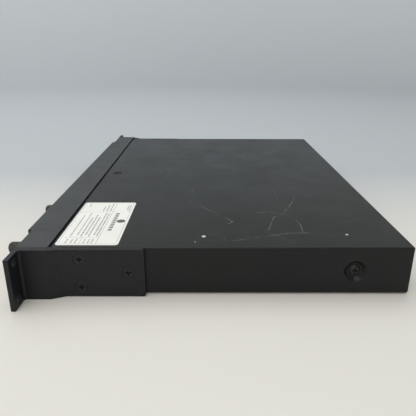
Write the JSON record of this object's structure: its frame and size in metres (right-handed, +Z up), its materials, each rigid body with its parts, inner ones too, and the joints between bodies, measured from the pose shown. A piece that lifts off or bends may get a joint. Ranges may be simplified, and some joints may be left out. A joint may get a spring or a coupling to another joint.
{
  "type": "firewall appliance",
  "caption": "Low rack-mount network firewall box with ears, a slide-out port module, menu keys, fans and a mains supply.",
  "frame": {"origin": "centre of the base of the whole object's box, on the surface that it rests on", "axes": "+X across the width towards the right-hand rack ear as a person faces the front, +Y from the front bezel to the rear panel, +Z up"},
  "size_m": [0.4826, 0.3425, 0.0436],
  "materials": {
    "cover_paint": "satin dark grey powder coat",
    "tray_steel": "plain galvanised sheet",
    "bezel_plastic": "fine matte moulded plastic, dark grey",
    "ear_paint": "satin black paint",
    "black_screw": "black oxide steel",
    "plain_screw": "zinc plated steel",
    "label_paper": "matte off-white label stock",
    "lens": "clear smoked lens",
    "display_metal": "black display frame",
    "key_rubber": "matte rubber",
    "green_board": "solder-masked circuit board",
    "light_pipe": "clear light pipe",
    "jack_shell": "tinned shell",
    "chip_plastic": "moulded chip bodies",
    "knob_plastic": "black knurled knob",
    "clip_steel": "spring steel",
    "socket_plastic": "moulded sockets and frames",
    "brass_pin": "plated brass",
    "fan_plastic": "moulded fan frames and rotors",
    "heat_sink_metal": "extruded aluminium",
    "drive_case": "cast drive case",
    "harness_sleeve": "sleeved wires"
  },
  "bodies": {
    "chassis": {"base_tray": "tray_steel", "top_cover": "cover_paint", "rear_panel": "tray_steel", "front_panel": "tray_steel", "bezel_centre": "bezel_plastic", "bezel_end_cap_left": "bezel_plastic", "bezel_end_cap_right": "bezel_plastic", "rack_ear_left": "ear_paint", "rack_ear_right": "ear_paint", "ear_screws": "black_screw", "cover_side_screws": "black_screw", "cover_screws": "black_screw", "ground_screw": "plain_screw", "product_label": "label_paper", "display_window": "lens", "display_module": "display_metal", "key_board": "green_board", "lamp_pipes": "light_pipe", "lan_jacks": "jack_shell", "service_jacks": "jack_shell", "usb_sockets": "jack_shell", "module_guides": "tray_steel", "module_socket": "socket_plastic", "supply_case": "tray_steel", "supply_board": "green_board", "supply_harness": "harness_sleeve", "power_inlet": "socket_plastic", "inlet_pins": "brass_pin", "rocker_frame": "socket_plastic", "supply_fan_frame": "fan_plastic", "case_fan_frames": "fan_plastic", "fan_screws": "plain_screw", "board_standoffs": "plain_screw", "board_screws": "plain_screw", "main_board": "green_board", "board_parts": "chip_plastic", "heat_sink": "heat_sink_metal", "memory_sockets": "socket_plastic", "memory_modules": "green_board", "storage_drive": "drive_case", "drive_bracket": "tray_steel"},
    "key_up": {"key_up": "key_rubber"},
    "key_down": {"key_down": "key_rubber"},
    "key_enter": {"key_enter": "key_rubber"},
    "key_back": {"key_back": "key_rubber"},
    "reset_button": {"reset_button": "socket_plastic"},
    "network_module": {"module_faceplate": "bezel_plastic", "module_carrier": "tray_steel", "module_board": "green_board", "module_cages": "jack_shell", "thumb_springs": "clip_steel"},
    "clip_left": {"thumb_clip_left": "clip_steel"},
    "clip_right": {"thumb_clip_right": "clip_steel"},
    "knob_left": {"thumbscrew_left": "knob_plastic"},
    "knob_right": {"thumbscrew_right": "knob_plastic"},
    "rocker": {"power_rocker": "socket_plastic"},
    "supply_rotor": {"supply_fan_rotor": "fan_plastic"},
    "rotor_left": {"case_fan_rotor_left": "fan_plastic"},
    "rotor_centre": {"case_fan_rotor_centre": "fan_plastic"},
    "rotor_right": {"case_fan_rotor_right": "fan_plastic"}
  },
  "joints": [
    {"name": "key_up_press", "type": "slide", "parent": "chassis", "child": "key_up", "axis": [0, 1, 0], "range_m": [0, 0.0009], "stiffness_N_per_m": 400},
    {"name": "key_down_press", "type": "slide", "parent": "chassis", "child": "key_down", "axis": [0, 1, 0], "range_m": [0, 0.0009], "stiffness_N_per_m": 400},
    {"name": "key_enter_press", "type": "slide", "parent": "chassis", "child": "key_enter", "axis": [0, 1, 0], "range_m": [0, 0.0009], "stiffness_N_per_m": 400},
    {"name": "key_back_press", "type": "slide", "parent": "chassis", "child": "key_back", "axis": [0, 1, 0], "range_m": [0, 0.0009], "stiffness_N_per_m": 400},
    {"name": "reset_press", "type": "slide", "parent": "chassis", "child": "reset_button", "axis": [0, 1, 0], "range_m": [0, 0.0006], "stiffness_N_per_m": 400},
    {"name": "module_slide", "type": "slide", "parent": "chassis", "child": "network_module", "axis": [0, -1, 0], "range_m": [0, 0.08]},
    {"name": "clip_left_push", "type": "slide", "parent": "network_module", "child": "clip_left", "axis": [0, 1, 0], "range_m": [0, 0.005], "stiffness_N_per_m": 200, "deforming": ["thumb_springs"]},
    {"name": "knob_left_spin", "type": "hinge", "parent": "clip_left", "child": "knob_left", "pos_m": [0.07855, -0.1557, 0.023], "axis": [0, 1, 0], "continuous": true},
    {"name": "clip_right_push", "type": "slide", "parent": "network_module", "child": "clip_right", "axis": [0, 1, 0], "range_m": [0, 0.005], "stiffness_N_per_m": 200, "deforming": ["thumb_springs"]},
    {"name": "knob_right_spin", "type": "hinge", "parent": "clip_right", "child": "knob_right", "pos_m": [0.17495, -0.1557, 0.023], "axis": [0, 1, 0], "continuous": true},
    {"name": "rocker_tilt", "type": "hinge", "parent": "chassis", "child": "rocker", "pos_m": [-0.162, 0.1665, 0.0212], "axis": [1, 0, 0], "range_deg": [0, 14]},
    {"name": "supply_fan_spin", "type": "hinge", "parent": "chassis", "child": "supply_rotor", "pos_m": [-0.1315, 0.154, 0.0212], "axis": [0, 1, 0], "continuous": true},
    {"name": "fan_left_spin", "type": "hinge", "parent": "chassis", "child": "rotor_left", "pos_m": [-0.082, 0.154, 0.02105], "axis": [0, 1, 0], "continuous": true},
    {"name": "fan_centre_spin", "type": "hinge", "parent": "chassis", "child": "rotor_centre", "pos_m": [-0.038, 0.154, 0.02105], "axis": [0, 1, 0], "continuous": true},
    {"name": "fan_right_spin", "type": "hinge", "parent": "chassis", "child": "rotor_right", "pos_m": [0.006, 0.154, 0.02105], "axis": [0, 1, 0], "continuous": true}
  ]
}
